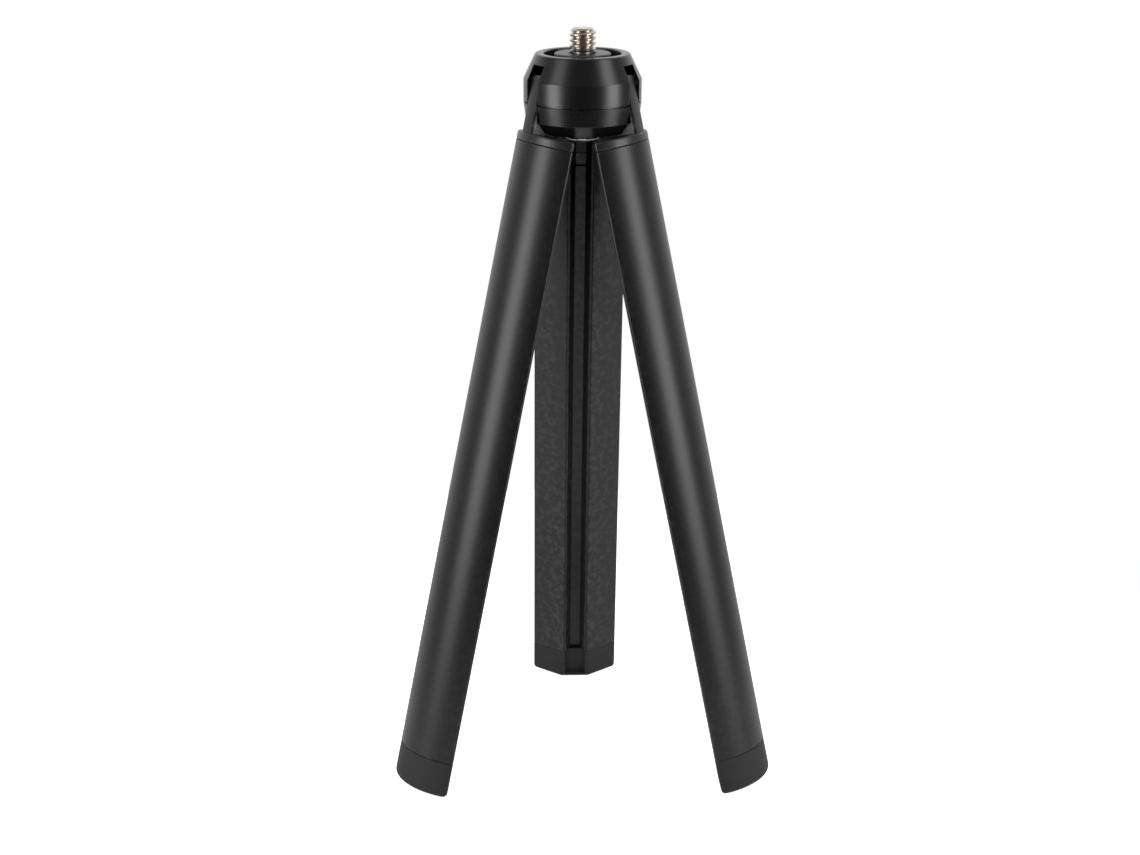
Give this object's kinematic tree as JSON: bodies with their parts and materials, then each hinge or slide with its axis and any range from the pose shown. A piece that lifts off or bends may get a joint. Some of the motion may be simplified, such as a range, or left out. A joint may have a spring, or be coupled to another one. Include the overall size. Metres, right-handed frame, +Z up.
{
  "type": "tabletop tripod",
  "caption": "Tabletop tripod with a round head, a camera stud on top, and hinged legs that fold together into a round handle.",
  "frame": {"origin": "on the ground, on the tripod's axis, with the legs open against their stops", "axes": "+Z up along the tripod's axis towards the camera stud; -Y to the front, between the left and the right leg; +X to the right leg's side; the rear leg points along +Y"},
  "size_m": [0.0934, 0.0845, 0.1841],
  "materials": {
    "head_shell": "satin moulded black with a soft vertical sheen",
    "head_base": "satin moulded black, a little darker below the split line",
    "seat": "matt black moulded disc with a rounded edge",
    "stud": "bright warm nickel plate on a rolled thread",
    "screw": "polished nickel dome",
    "washer": "plain zinc",
    "pin": "ground steel",
    "friction": "natural white nylon",
    "yoke": "satin black with soft rounded edges",
    "tube": "black satin anodised extrusion with fine lengthwise lines",
    "foot": "matt black rubber with a fine grain"
  },
  "bodies": {
    "head": {"head_upper_shell": "head_shell", "head_lower_shell": "head_base", "camera_seat": "seat", "camera_stud": "stud", "retaining_screw": "screw", "retaining_washer": "washer", "hinge_pin_left": "pin", "hinge_pin_right": "pin", "hinge_pin_rear": "pin", "friction_washers_left": "friction", "friction_washers_right": "friction", "friction_washers_rear": "friction"},
    "leg_left": {"leg_yoke_left": "yoke", "leg_tube_left": "tube", "foot_left": "foot"},
    "leg_right": {"leg_yoke_right": "yoke", "leg_tube_right": "tube", "foot_right": "foot"},
    "leg_rear": {"leg_yoke_rear": "yoke", "leg_tube_rear": "tube", "foot_rear": "foot"}
  },
  "joints": [
    {"name": "leg_left_fold", "type": "hinge", "parent": "head", "child": "leg_left", "pos_m": [-0.00823, -0.00475, 0.16714], "axis": [0.5, -0.866, 0], "range_deg": [0, 13]},
    {"name": "leg_right_fold", "type": "hinge", "parent": "head", "child": "leg_right", "pos_m": [0.00823, -0.00475, 0.16714], "axis": [0.5, 0.866, 0], "range_deg": [0, 13]},
    {"name": "leg_rear_fold", "type": "hinge", "parent": "head", "child": "leg_rear", "pos_m": [0, 0.0095, 0.16714], "axis": [-1, 0, 0], "range_deg": [0, 13]}
  ]
}
